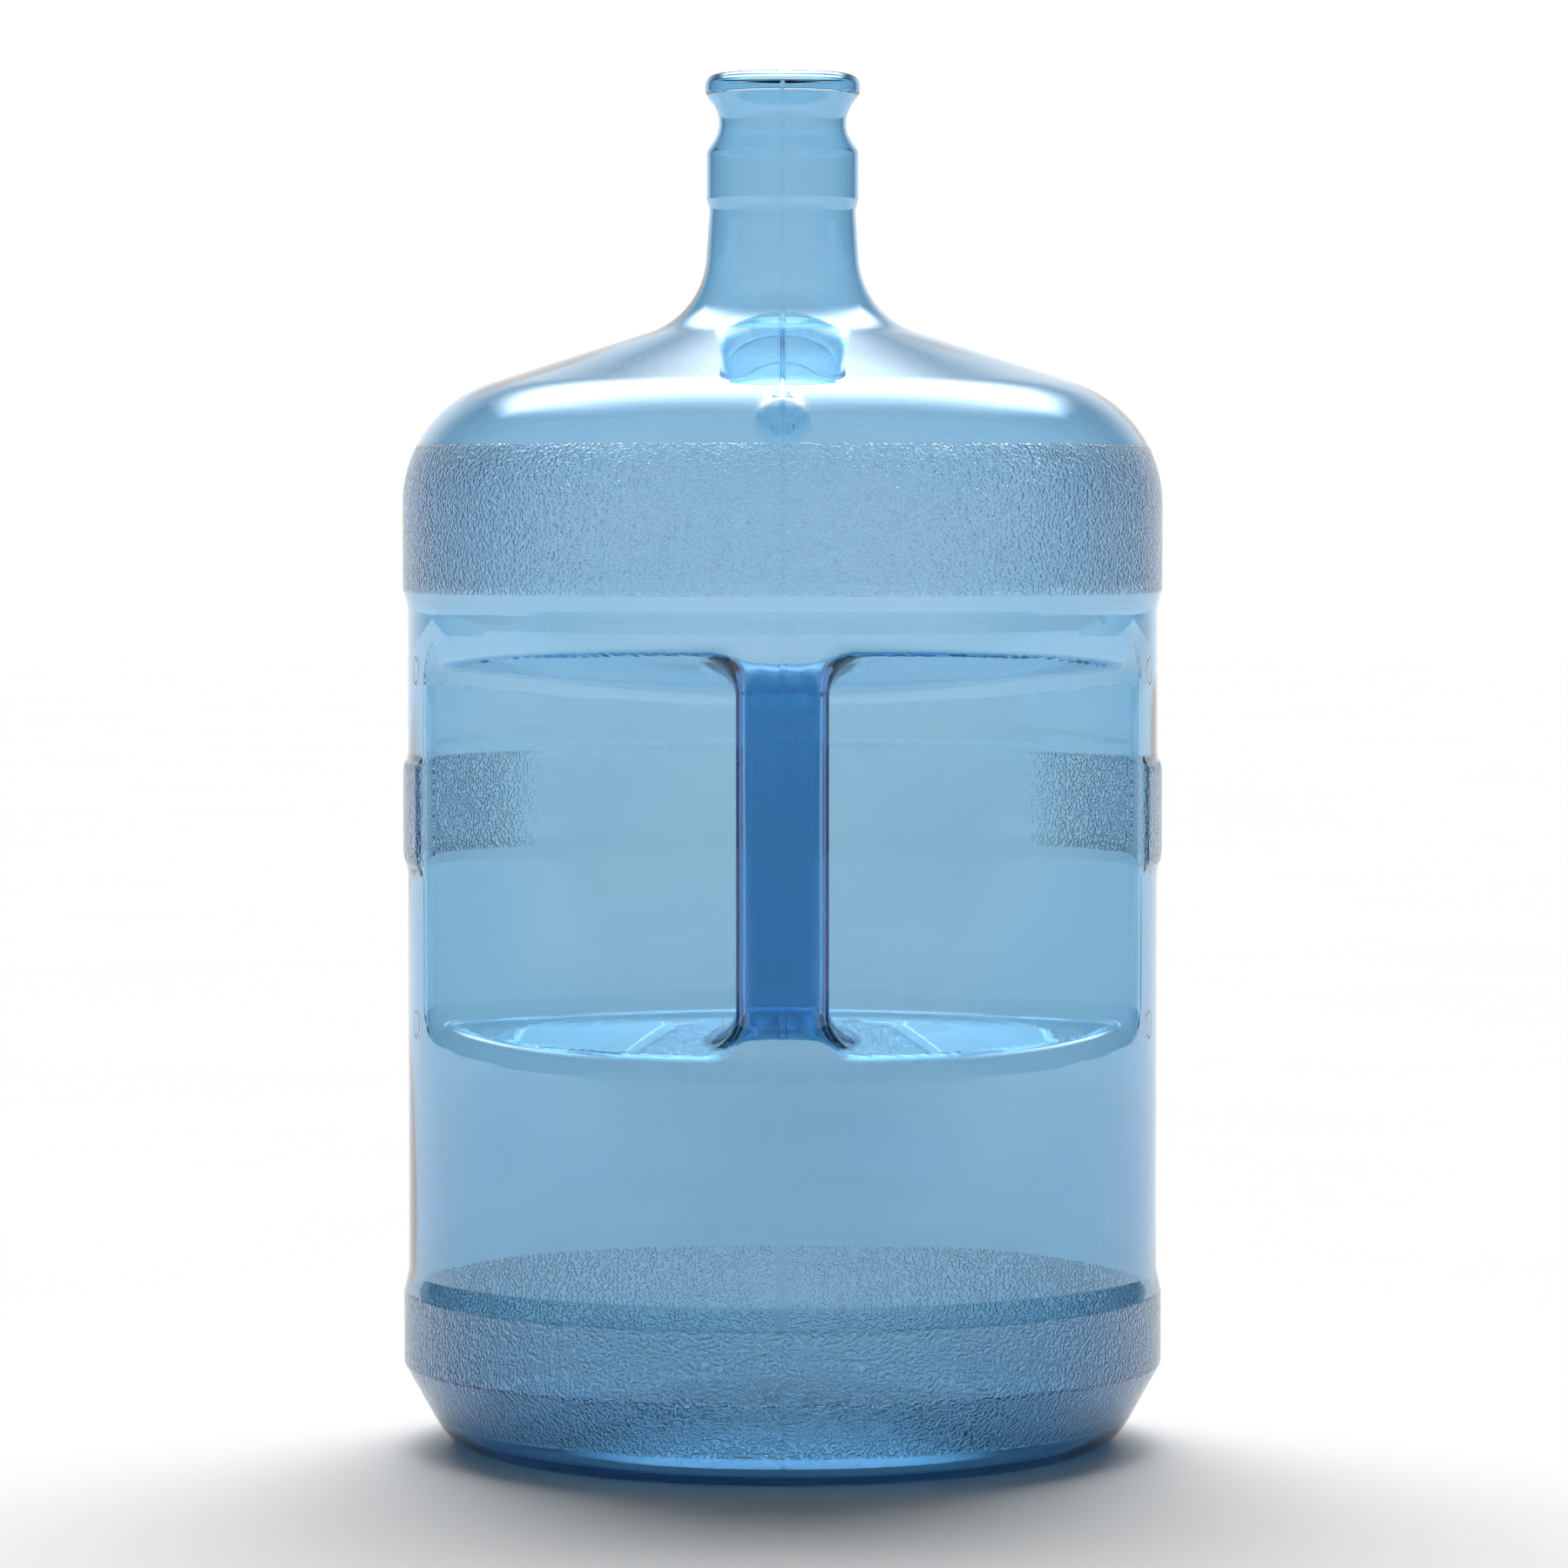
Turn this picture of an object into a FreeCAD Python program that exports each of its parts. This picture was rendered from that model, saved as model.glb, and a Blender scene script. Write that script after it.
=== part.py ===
"""Large water jug: an 18.9 litre blow-moulded bottle with a hollow handle set in its side.

Frame: millimetres, +Z up, origin at the centre of the foot ring, which lies on Z = 0. The handle
and its recess face -Y, and the two mould halves met on the plane X = 0.

The real bottle is one moulding. It is modelled whole, as an outer form less its cavity, and then
divided on plain planes into its named regions, which meet face to face.
"""

import FreeCAD, Part
import math
import os

Vector = FreeCAD.Vector

# Body, as radii and heights. A CORNER is where two straight runs of the outline would meet.
BAND_R = 135.4
BODY_R = 133.5
HEIGHT = 488.0
FOOT_CORNER_R = 118.3
FOOT_ROUND = 18.0
HEEL_TOP = 30.3
LOWER_BAND_TOP = 55.5
LOWER_WALL_BOTTOM = 63.5
UPPER_WALL_TOP = 299.0
UPPER_BAND_BOTTOM = 305.5
SHOULDER_CORNER = 368.5
SHOULDER_ROUND = 45.0
BAND_ROUND = 3.0
WALL_ROUND = 4.0

# Raised band round the middle, which stops each side of the recess
MID_BAND_LOW = 204.5
MID_BAND_HIGH = 246.5
MID_BAND_LOW_BEVEL = 7.5
MID_BAND_HIGH_BEVEL = 4.0
MID_BAND_END_Y = -42.0
MID_BAND_ROOT = 5.0  # how far its ring reaches into the body before it is trimmed
MID_BAND_LAP = 0.5  # how far it is left inside the body, to join it

# Neck and its 55 mm snap-cap finish, as (radius, height)
NECK_ROOT = (28.4, 402.5)
NECK_ROOT_ROUND = 30.0
NECK_TOP = (25.9, 440.0)
NECK_TOP_ROUND = 1.0
COLLAR_R = 26.95
COLLAR_BOTTOM = 443.6
COLLAR_BOTTOM_ROUND = 1.5
COLLAR_TOP = 460.5
COLLAR_TOP_ROUND = 3.5
WAIST = (20.1, 470.9)
WAIST_ROUND = 11.2
RIM_R = 27.5
RIM_BOTTOM = 481.2
RIM_BOTTOM_ROUND = 1.6
RIM_ROUND = 4.2

# Inside of the neck: the wall follows the outside, but is straight through the waist. The rim is
# a hollow bead whose lip turns in to the mouth.
BORE_R = 20.6
BORE_BOTTOM = 465.5
BORE_TOP = 476.3
BORE_ROUND = 3.0
BEAD_INSIDE_R = 25.6
BEAD_INSIDE_BOTTOM = 482.0
BEAD_INSIDE_ROUND = 2.0
LIP_WALL = 2.0
MOUTH_R = 21.4
MOUTH_ROUND = 0.6
MOUTH_CLEAR = 3.0  # how far past the mouth's edge the cavity is carried on

# Walls
WALL = 1.4
FOOT_WALL = 1.8
SHOULDER_WALL = 1.5
NECK_WALL = 1.6
GRIP_WALL = 2.4

# Pushed-up dome of the base
DOME_R = 97.0
DOME_RISE = 18.0
DOME_ROUND = 6.0

# Recess behind the handle
RECESS_Y = -78.0  # its back wall on the centre plane
RECESS_SIDE_X = 124.5  # where its back wall would run out of the body, each side
RECESS_SIDE_Y = -48.0
SILL_Z = 162.0  # lower ledge, at the back wall on the centre plane
LINTEL_Z = 271.0  # upper ledge, the same
LEDGE_SLOPE = 0.27  # the ledges part by this much towards the front
LEDGE_SPREAD = 12.1  # and by this much at LEDGE_SPREAD_X, so that the mould could open
LEDGE_SPREAD_X = 107.0
RECESS_ROUND = 7.0
LIP_ROUND = 9.0

# Handle
GRIP_WIDTH = 31.7
GRIP_FRONT = -131.0
GRIP_DEPTH = 24.0
GRIP_CORNER = 10.0
GRIP_FLARE = 13.0
GRIP_FLARE_STEPS = (0.0, 0.1, 0.3, 0.6, 1.0)
GRIP_ROOT = 12.0  # how far each flared end is carried on into the body

# Planes that divide the moulding into its regions
LOWER_BAND_CUT = 60.0
RECESS_LOW_CUT = 138.0
SILL_CUT = 172.0
MID_BAND_LOW_CUT = 204.0
MID_BAND_HIGH_CUT = 247.0
LINTEL_CUT = 261.0
RECESS_HIGH_CUT = 294.0
SHOULDER_LOW_CUT = 356.0
SHOULDER_HIGH_CUT = 400.0
COLLAR_CUT = 442.0
RIM_CUT = 462.0
RECESS_FRONT_Y = -43.0
BASE_CUT_R = 100.0
GRIP_CUT_X = 26.0
GRIP_CUT_Y = -101.0
GRIP_LOW_CUT = 166.0
GRIP_HIGH_CUT = 267.0

REACH = 500.0  # more than the bottle's own size
NEAR = 0.01


def unit(a, b):
    """Unit vector from a to b, both (radius, height)."""
    length = math.hypot(b[0] - a[0], b[1] - a[1])
    return ((b[0] - a[0]) / length, (b[1] - a[1]) / length)


def at(point):
    """A (radius, height) point on the XZ plane."""
    return Vector(point[0], 0, point[1])


def line(a, b):
    """Straight edge between two (radius, height) points."""
    return Part.LineSegment(at(a), at(b)).toShape()


def rounded_corner(before, corner, after, radius):
    """First, middle and last point of the arc that rounds a corner of an outline."""
    back = unit(corner, before)
    ahead = unit(corner, after)
    half = math.acos(back[0] * ahead[0] + back[1] * ahead[1]) / 2
    run = radius / math.tan(half)
    apex = radius / math.sin(half) - radius
    bisector = unit((0.0, 0.0), (back[0] + ahead[0], back[1] + ahead[1]))
    first = (corner[0] + back[0] * run, corner[1] + back[1] * run)
    middle = (corner[0] + bisector[0] * apex, corner[1] + bisector[1] * apex)
    last = (corner[0] + ahead[0] * run, corner[1] + ahead[1] * run)
    return first, middle, last


def turned(stations):
    """Solid of revolution about Z, closed to the axis, through (radius, height, rounding)."""
    low = (0.0, stations[0][1], 0.0)
    high = (0.0, stations[-1][1], 0.0)
    corners = [low] + stations + [high]
    edges = []
    start = low
    for before, corner, after in zip(corners, corners[1:], corners[2:]):
        if corner[2] == 0:
            edges.append(line(start, corner))
            start = corner
            continue
        first, middle, last = rounded_corner(before, corner, after, corner[2])
        edges.append(line(start, first))
        edges.append(Part.Arc(at(first), at(middle), at(last)).toShape())
        start = last
    edges.append(line(start, high))
    edges.append(line(high, low))
    return Part.Face(Part.Wire(edges)).revolve(Vector(0, 0, 0), Vector(0, 0, 1), 360)


def body_corners():
    """Outside of foot, body and shoulder as (radius, height, rounding), with each one's wall."""
    return [
        ((FOOT_CORNER_R, 0.0, FOOT_ROUND), FOOT_WALL),
        ((BAND_R, HEEL_TOP, BAND_ROUND), WALL),
        ((BAND_R, LOWER_BAND_TOP, BAND_ROUND), WALL),
        ((BODY_R, LOWER_WALL_BOTTOM, WALL_ROUND), WALL),
        ((BODY_R, UPPER_WALL_TOP, WALL_ROUND), WALL),
        ((BAND_R, UPPER_BAND_BOTTOM, BAND_ROUND), WALL),
        ((BAND_R, SHOULDER_CORNER, SHOULDER_ROUND), SHOULDER_WALL),
        ((NECK_ROOT[0], NECK_ROOT[1], NECK_ROOT_ROUND), NECK_WALL),
    ]


def outer_stations():
    """Outline of the whole outside, from the foot to the rim."""
    return [corner for corner, _ in body_corners()] + [
        (NECK_TOP[0], NECK_TOP[1], NECK_TOP_ROUND),
        (COLLAR_R, COLLAR_BOTTOM, COLLAR_BOTTOM_ROUND),
        (COLLAR_R, COLLAR_TOP, COLLAR_TOP_ROUND),
        (WAIST[0], WAIST[1], WAIST_ROUND),
        (RIM_R, RIM_BOTTOM, RIM_BOTTOM_ROUND),
        (RIM_R, HEIGHT, RIM_ROUND),
    ]


def cavity_stations():
    """Outline of the cavity: the body's corners moved in by their walls, then the neck's bore."""
    outline = [(0.0, 0.0, 0.0)] + outer_stations()
    stations = []
    for i, (corner, wall) in enumerate(body_corners(), start=1):
        before = unit(outline[i - 1], corner)
        after = unit(corner, outline[i + 1])
        half_turn = math.acos(before[0] * after[0] + before[1] * after[1]) / 2
        inward = unit((0.0, 0.0), (-before[1] - after[1], before[0] + after[0]))
        shift = wall / math.cos(half_turn)
        bulges = before[0] * after[1] > before[1] * after[0]
        rounding = corner[2] - wall if bulges else corner[2] + wall
        stations.append((corner[0] + inward[0] * shift, corner[1] + inward[1] * shift, rounding))
    lip = HEIGHT - LIP_WALL
    return stations + [
        (NECK_TOP[0] - NECK_WALL, NECK_TOP[1], NECK_TOP_ROUND),
        (COLLAR_R - NECK_WALL, COLLAR_BOTTOM, COLLAR_BOTTOM_ROUND),
        (COLLAR_R - NECK_WALL, COLLAR_TOP, COLLAR_TOP_ROUND),
        (BORE_R, BORE_BOTTOM, BORE_ROUND),
        (BORE_R, BORE_TOP, BORE_ROUND),
        (BEAD_INSIDE_R, BEAD_INSIDE_BOTTOM, BEAD_INSIDE_ROUND),
        (BEAD_INSIDE_R, lip, BEAD_INSIDE_ROUND),
        (MOUTH_R, lip, MOUTH_ROUND),
        (MOUTH_R, HEIGHT, MOUTH_ROUND),
        (MOUTH_R + MOUTH_CLEAR, HEIGHT + NEAR, 0.0),
        (MOUTH_R + MOUTH_CLEAR, HEIGHT + MOUTH_CLEAR, 0.0),
    ]


def push_up(solid, wall):
    """Takes the base's dome out of a solid whose floor is at wall, and rounds the dome's edge."""
    radius = (DOME_R**2 + DOME_RISE**2) / (2 * DOME_RISE)
    cut = solid.cut(Part.makeSphere(radius + wall, Vector(0, 0, DOME_RISE - radius)))
    rim = []
    for edge in cut.Edges:
        box = edge.BoundBox
        flat = box.ZLength < NEAR and abs(box.ZMax - wall) < NEAR
        if flat and abs(box.XMax - DOME_R) < DOME_ROUND:
            rim.append(edge)
    return cut.makeFillet(DOME_ROUND - wall, rim)


def ledge_block(level, way):
    """The solid side of a ledge: up from it for way 1, down from it for way -1.

    The ledge is an arc across the bottle, drawn forward along the ledge's slope.
    """
    half = 2 * RECESS_SIDE_X
    end_z = level + way * LEDGE_SPREAD * (half / LEDGE_SPREAD_X) ** 2
    left = Vector(-half, RECESS_Y, end_z)
    middle = Vector(0, RECESS_Y, level)
    right = Vector(half, RECESS_Y, end_z)
    away = Vector(0, 0, way * REACH)
    edges = [Part.Arc(left, middle, right).toShape()]
    ring = [right, right + away, left + away, left]
    for start, end in zip(ring, ring[1:]):
        edges.append(Part.LineSegment(start, end).toShape())
    forward = Vector(0, -REACH, way * LEDGE_SLOPE * REACH)
    block = Part.Face(Part.Wire(edges)).extrude(forward * 2)
    block.translate(forward * -1)
    return block


def recess(wall):
    """The space that the recess takes out of the body, grown by a wall's thickness."""
    sag = RECESS_SIDE_Y - RECESS_Y
    radius = (RECESS_SIDE_X**2 + sag**2) / (2 * sag)
    lean = math.sqrt(1 + LEDGE_SLOPE**2)
    corner = Vector(-2 * RECESS_SIDE_X, RECESS_FRONT_Y - REACH, 0)
    space = Part.makeBox(4 * RECESS_SIDE_X, REACH, REACH, corner)
    space = space.cut(Part.makeCylinder(radius - wall, REACH, Vector(0, RECESS_Y + radius, 0)))
    space = space.cut(ledge_block(SILL_Z - wall * lean, -1))
    space = space.cut(ledge_block(LINTEL_Z + wall * lean, 1))
    folds = []
    for edge in space.Edges:
        box = edge.BoundBox
        if box.XLength > RECESS_SIDE_X and abs(box.YMin - RECESS_Y) < wall + NEAR:
            folds.append(edge)
    return space.makeFillet(RECESS_ROUND + wall, folds)


def lips(solid, radius):
    """Edges where the recess breaks out of the body's cylinder of this radius."""
    found = []
    for edge in solid.Edges:
        box = edge.BoundBox
        in_recess = box.ZMin > LOWER_WALL_BOTTOM and box.ZMax < RECESS_HIGH_CUT
        if box.YMax > RECESS_FRONT_Y or not in_recess:
            continue
        first, last = edge.ParameterRange
        points = [edge.valueAt(first + (last - first) * share) for share in (0.1, 0.5, 0.9)]
        if all(abs(math.hypot(p.x, p.y) - radius) < NEAR for p in points):
            found.append(edge)
    return found


def mid_band(wall):
    """The raised band round the middle, its outside moved in by wall."""
    root = BODY_R - MID_BAND_ROOT
    band = BAND_R - wall
    body = BODY_R - wall
    ring = turned(
        [
            (root, MID_BAND_LOW, 0.0),
            (body, MID_BAND_LOW, 0.0),
            (band, MID_BAND_LOW + MID_BAND_LOW_BEVEL, BAND_ROUND),
            (band, MID_BAND_HIGH - MID_BAND_HIGH_BEVEL, BAND_ROUND),
            (body, MID_BAND_HIGH, 0.0),
            (root, MID_BAND_HIGH, 0.0),
        ]
    )
    gap_corner = Vector(-REACH, MID_BAND_END_Y + wall - REACH, 0)
    gap = Part.makeBox(2 * REACH, REACH, REACH, gap_corner)
    return ring.cut([gap, Part.makeCylinder(body - MID_BAND_LAP, REACH)])


def grip_section(level, shear, half, front, back, corner):
    """Rounded rectangle on a plane that leans by shear towards the front, as a closed wire."""
    middle_y = (front + back) / 2
    plan = [(-half, front), (half, front), (half, back), (-half, back)]
    corners = [Vector(x, y, level + shear * (middle_y - y)) for x, y in plan]
    bends = []
    for i, here in enumerate(corners):
        to_last = (corners[i - 1] - here).normalize()
        to_next = (corners[(i + 1) % 4] - here).normalize()
        middle = here + (to_last + to_next) * (corner * (1 - math.sqrt(0.5)))
        bends.append((here + to_last * corner, middle, here + to_next * corner))
    edges = []
    for i, (first, middle, last) in enumerate(bends):
        edges.append(Part.Arc(first, middle, last).toShape())
        edges.append(Part.LineSegment(last, bends[(i + 1) % 4][0]).toShape())
    return Part.Wire(edges)


def grip_flare(ledge, way, wall):
    """Sections of one end of the handle, from the widest, on its ledge, to the plain bar.

    ledge is the ledge's height at the back wall; way is 1 for the upper one, -1 for the lower.
    """
    half = GRIP_WIDTH / 2 - wall
    front = GRIP_FRONT + wall
    back = GRIP_FRONT + GRIP_DEPTH - wall
    radius = GRIP_FLARE + wall
    level = ledge + way * (LEDGE_SLOPE * (RECESS_Y - (front + back) / 2) + wall)
    sections = []
    for step in GRIP_FLARE_STEPS:
        out = radius - radius * math.sqrt(1 - (1 - step) ** 2)
        shear = way * LEDGE_SLOPE * (1 - step)
        corner = GRIP_CORNER - wall + out / 2
        height = level - way * step * radius
        sections.append(grip_section(height, shear, half + out, front, back + out, corner))
    return sections


def grip(wall):
    """The handle's bar, flared at each end and carried on into the body, wall further in."""
    pieces = []
    bar_ends = []
    for ledge, way in ((SILL_Z, -1), (LINTEL_Z, 1)):
        sections = grip_flare(ledge, way, wall)
        pieces.append(Part.makeLoft(sections, True, False))
        pieces.append(Part.Face(sections[0]).extrude(Vector(0, 0, way * GRIP_ROOT)))
        bar_ends.append(sections[-1])
    pieces.append(Part.makeLoft(bar_ends, True, True))
    return pieces[0].fuse(pieces[1:])


def form(stations, floor, wall, grip_wall):
    """The outside or the cavity: a turned body with its dome, recess, band and handle."""
    body = push_up(turned(stations), floor)
    body = body.cut(recess(wall))
    body = body.makeFillet(LIP_ROUND - wall, lips(body, BODY_R - wall))
    return body.fuse([mid_band(wall), grip(grip_wall)])


def bottle():
    """The whole moulding as one hollow solid."""
    outside = form(outer_stations(), 0.0, 0.0, 0.0)
    cavity = form(cavity_stations(), FOOT_WALL, WALL, GRIP_WALL)
    return outside.cut(cavity)


def slab(low, high):
    """Everything between two heights."""
    return Part.makeBox(2 * REACH, 2 * REACH, high - low, Vector(-REACH, -REACH, low))


def regions(whole):
    """The moulding's named regions, which meet face to face on plain planes."""
    grip_low = Vector(-GRIP_CUT_X, GRIP_CUT_Y - REACH, GRIP_LOW_CUT)
    grip_space = Part.makeBox(2 * GRIP_CUT_X, REACH, GRIP_HIGH_CUT - GRIP_LOW_CUT, grip_low)
    front = Part.makeBox(2 * REACH, REACH, REACH, Vector(-REACH, RECESS_FRONT_Y - REACH, 0))
    base_space = Part.makeCylinder(BASE_CUT_R, HEEL_TOP)
    foot = whole.common(slab(0, HEEL_TOP))
    middle = whole.common(slab(RECESS_LOW_CUT, RECESS_HIGH_CUT))
    pocket = middle.common(front).cut(grip_space)
    rear = middle.cut(front)
    return {
        "base_dome": foot.common(base_space),
        "heel": foot.cut(base_space),
        "lower_grip_band": whole.common(slab(HEEL_TOP, LOWER_BAND_CUT)),
        "lower_wall": whole.common(slab(LOWER_BAND_CUT, RECESS_LOW_CUT)),
        "recess_sill": pocket.common(slab(RECESS_LOW_CUT, SILL_CUT)),
        "recess_back_wall": pocket.common(slab(SILL_CUT, LINTEL_CUT)),
        "recess_lintel": pocket.common(slab(LINTEL_CUT, RECESS_HIGH_CUT)),
        "handle_grip": middle.common(grip_space),
        "rear_wall_lower": rear.common(slab(RECESS_LOW_CUT, MID_BAND_LOW_CUT)),
        "mid_grip_band": rear.common(slab(MID_BAND_LOW_CUT, MID_BAND_HIGH_CUT)),
        "rear_wall_upper": rear.common(slab(MID_BAND_HIGH_CUT, RECESS_HIGH_CUT)),
        "upper_grip_band": whole.common(slab(RECESS_HIGH_CUT, SHOULDER_LOW_CUT)),
        "shoulder": whole.common(slab(SHOULDER_LOW_CUT, SHOULDER_HIGH_CUT)),
        "neck": whole.common(slab(SHOULDER_HIGH_CUT, COLLAR_CUT)),
        "neck_collar": whole.common(slab(COLLAR_CUT, RIM_CUT)),
        "neck_rim": whole.common(slab(RIM_CUT, REACH)),
    }


def main():
    """Writes each region as a solid of its own."""
    os.makedirs("parts", exist_ok=True)
    whole = bottle()
    parts = regions(whole)
    for name, shape in parts.items():
        if len(shape.Solids) != 1 or not shape.isValid():
            raise ValueError(name + " is not one valid solid")
        shape.Solids[0].exportStep("parts/" + name + ".step")
    print("plastic", round(whole.Volume), "divided", round(sum(p.Volume for p in parts.values())))


if __name__ == "__main__":
    main()
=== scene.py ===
"""Clear blue 18.9 litre water jug: one blow-moulded polycarbonate shell, on a pale studio floor.

The shell is one closed mesh, outside and inside, so that light bends and is coloured by the real
thickness of the plastic. The foot and the shoulder, neck and rim are turned outlines. The middle,
with the recess and the hollow handle, is meshed from a distance field. Shape is in millimetres
and is scaled to metres at the end.
"""

import math

import bpy
import numpy as np
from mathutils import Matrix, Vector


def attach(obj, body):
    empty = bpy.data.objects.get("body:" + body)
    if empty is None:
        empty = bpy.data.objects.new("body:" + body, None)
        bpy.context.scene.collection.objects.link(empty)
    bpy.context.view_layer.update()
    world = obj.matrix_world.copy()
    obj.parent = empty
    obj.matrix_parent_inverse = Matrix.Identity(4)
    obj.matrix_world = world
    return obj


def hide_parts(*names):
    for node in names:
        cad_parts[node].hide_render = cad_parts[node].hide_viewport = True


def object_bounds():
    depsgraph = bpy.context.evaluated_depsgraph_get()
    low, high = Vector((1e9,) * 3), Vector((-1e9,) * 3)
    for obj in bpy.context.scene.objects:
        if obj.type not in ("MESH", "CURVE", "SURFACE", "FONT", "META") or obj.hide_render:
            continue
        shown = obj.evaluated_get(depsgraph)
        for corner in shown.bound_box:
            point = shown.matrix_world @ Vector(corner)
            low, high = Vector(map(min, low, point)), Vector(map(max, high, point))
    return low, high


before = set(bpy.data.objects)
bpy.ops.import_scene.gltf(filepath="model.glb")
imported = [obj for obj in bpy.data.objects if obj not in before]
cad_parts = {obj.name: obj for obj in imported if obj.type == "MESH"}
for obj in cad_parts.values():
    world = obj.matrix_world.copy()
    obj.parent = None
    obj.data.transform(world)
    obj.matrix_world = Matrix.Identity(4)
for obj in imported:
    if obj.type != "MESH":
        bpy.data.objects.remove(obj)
cad_low, cad_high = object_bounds()

MM = 0.001
TURN = 2 * math.pi

# ---------------------------------------------------------------- sizes, in millimetres
RIDGE = 0.3  # height of the parting ridge, which stays inside the jug's own radius
BAND_R = (cad_high.x - cad_low.x) / 2 / MM - RIDGE
BAND_RISE = 1.7
BODY_R = BAND_R - BAND_RISE
HEIGHT = cad_high.z / MM

# Turned parts: pairs are a radius and a height
DOME_R = 97.0
DOME_RISE = 18.0
DOME_RINGS_R = (2.0, 84.0)
DOME_RINGS = 24
FOOT_RING_ROUND = 6.0
FOOT_CORNER = (118.3, 0.0)
FOOT_ROUND = 18.0
HEEL_TOP = 30.3
LOWER_BAND_TOP = 55.5
LOWER_WALL_BOTTOM = 63.5
LOWER_WALL_ROUND = 4.0
UPPER_WALL_TOP = 299.0
UPPER_WALL_ROUND = 2.0
UPPER_BAND_BOTTOM = 305.5
BAND_ROUND = 3.0
SHOULDER_CORNER = 368.5
SHOULDER_ROUND = 45.0
NECK_ROOT = (28.4, 402.5)
NECK_ROOT_ROUND = 30.0
NECK_TOP = (25.9, 440.0)
COLLAR_R = 26.95
WAIST = (20.1, 470.9)
RIM_R = 27.5
MOUTH_R = 21.4
LIP_WALL = 2.0
BEAD_INSIDE_R = 25.6
WAIST_INSIDE = (18.16, 470.94)
NECK_WALL = 1.6

# The snap-cap finish as (radius, height, rounding) corners: up the outside from the top of the
# neck, over the rim, and down inside the hollow bead, the waist and the collar
FINISH = (
    (*NECK_TOP, 0.0),
    (COLLAR_R, 443.6, 1.5),
    (COLLAR_R, 460.5, 3.5),
    (*WAIST, 11.2),
    (RIM_R, 481.2, 1.6),
    (RIM_R, HEIGHT, 4.2),
    (MOUTH_R, HEIGHT, 0.6),
    (MOUTH_R, HEIGHT - LIP_WALL, 0.6),
    (BEAD_INSIDE_R, HEIGHT - LIP_WALL, 2.0),
    (BEAD_INSIDE_R, 481.3, 0.5),
    (*WAIST_INSIDE, 12.8),
    (COLLAR_R - NECK_WALL, 460.0, 1.9),
    (COLLAR_R - NECK_WALL, 443.8, 0.3),
    (NECK_TOP[0] - NECK_WALL, NECK_TOP[1], 0.0),
)
LINING_GAP = 2.0  # the neck's lining stops this far below the finish

# Raised band round the back: its bevels below and above, and the y over which each end rises
MID_BAND_LOW = 204.5
MID_BAND_HIGH = 246.5
MID_BAND_BEVELS = (7.5, 4.0)
MID_BAND_END_Y = (-44.5, -41.0)

# Recess: an arc from RECESS_Y in the middle to RECESS_SIDE (x, y), between two ledges that slope
# apart towards the front and spread apart by LEDGE_SPREAD at LEDGE_SPREAD_X
RECESS_Y = -78.0
RECESS_SIDE = (124.5, -48.0)
SILL_Z = 162.0
LINTEL_Z = 271.0
LEDGE_SLOPE = 0.27
LEDGE_SPREAD = 12.1
LEDGE_SPREAD_X = 107.0
RECESS_ROUND = 7.0
LIP_ROUND = 9.0

# Handle: half its section across and deep, and the fillet where it meets the body
GRIP_HALF = (15.85, 12.0)
GRIP_MIDDLE_Y = -119.0
GRIP_CORNER = 10.0
GRIP_FLARE = 13.0
GRIP_EXTRA_WALL = 1.5
GRIP_WALL_REACH = 15.0  # the extra wall fades out over this distance from the bar,
GRIP_WALL_Z = (148.0, 288.0)  # and is there between these heights,
GRIP_WALL_FADE = 16.0  # inside which it fades in over this

# Wall thickness by height, which thins upwards in the body and thickens again in the neck
WALL_Z = (0.0, 30.0, 60.0, 150.0, 200.0, 290.0, 330.0, 380.0, 400.0, 436.0)
WALL_MM = (2.6, 2.0, 1.7, 1.5, 1.45, 1.4, 1.3, 1.35, 1.5, NECK_WALL)

# The middle runs between these heights, and its grid goes this far to each side
JOIN_LOW = 137.5
JOIN_HIGH = 295.5
JOIN_GAP = 1.3
GRID_SIDE = 138.0
SEAM_LINES = (-1.4, -0.72, -0.38, -0.12)
SEAM_KEPT = 3.5  # vertices this near the parting line aren't evened out
EVENING_TURNS = 4
SETTLE_TURNS = 3
LONGEST_MOVE = 2.0

# Columns of the turned parts: offsets from the parting line at these radii
SEAM_STEPS = np.array([0.25, 0.55, 1.05, 1.9])
SEAM_STEPS_R = 60
FRONT_STEPS = np.array([3.2, 4.7, 6.1, 7.4, 8.6, 9.8, 11.4, 14.0, 17.5])
BACK_STEPS = np.array([3.2, 5.5])
WIDE_STEPS_R = 124
SIDE_COLUMNS = 50
WIDE_RING = BODY_R - 5.0  # end rings wider than this join the middle, and take its normals

# Boss on the front of the shoulder
BOSS_Z = 364.5
BOSS_R = 8.6
BOSS_RISE = 1.1
BOSS_EDGE = 2.6
BOSS_SQUASH = 0.8  # its height over its width
BOSS_BOTTOM = 340.0

# The parting ridge, which fades out at the foot and below the rim
RIDGE_HALF_WIDTH = 0.45
RIDGE_TOP = 484.0
RIDGE_TOP_FADE = 4.0
RIDGE_FOOT_FADE = 6.0

# Unevenness of the inner wall: streaks down the handle, and a slow drift that ends in the neck
STREAK = 0.07
STREAK_REACH = 8.0
STREAK_Z = (160.0, 280.0)
STREAK_TURNS = (0.75, 1.4)  # radians per millimetre across the handle, of two waves
STREAK_STARTS = (0.4, 2.0)
STREAK_SECOND = 0.6  # the second wave's height over the first's
DRIFT = 0.10
DRIFT_SIZE = 55.0
DRIFT_SEED = 3
DRIFT_WAVES = 14
DRIFT_TOP = 450.0
DRIFT_FADE = 30.0

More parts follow.
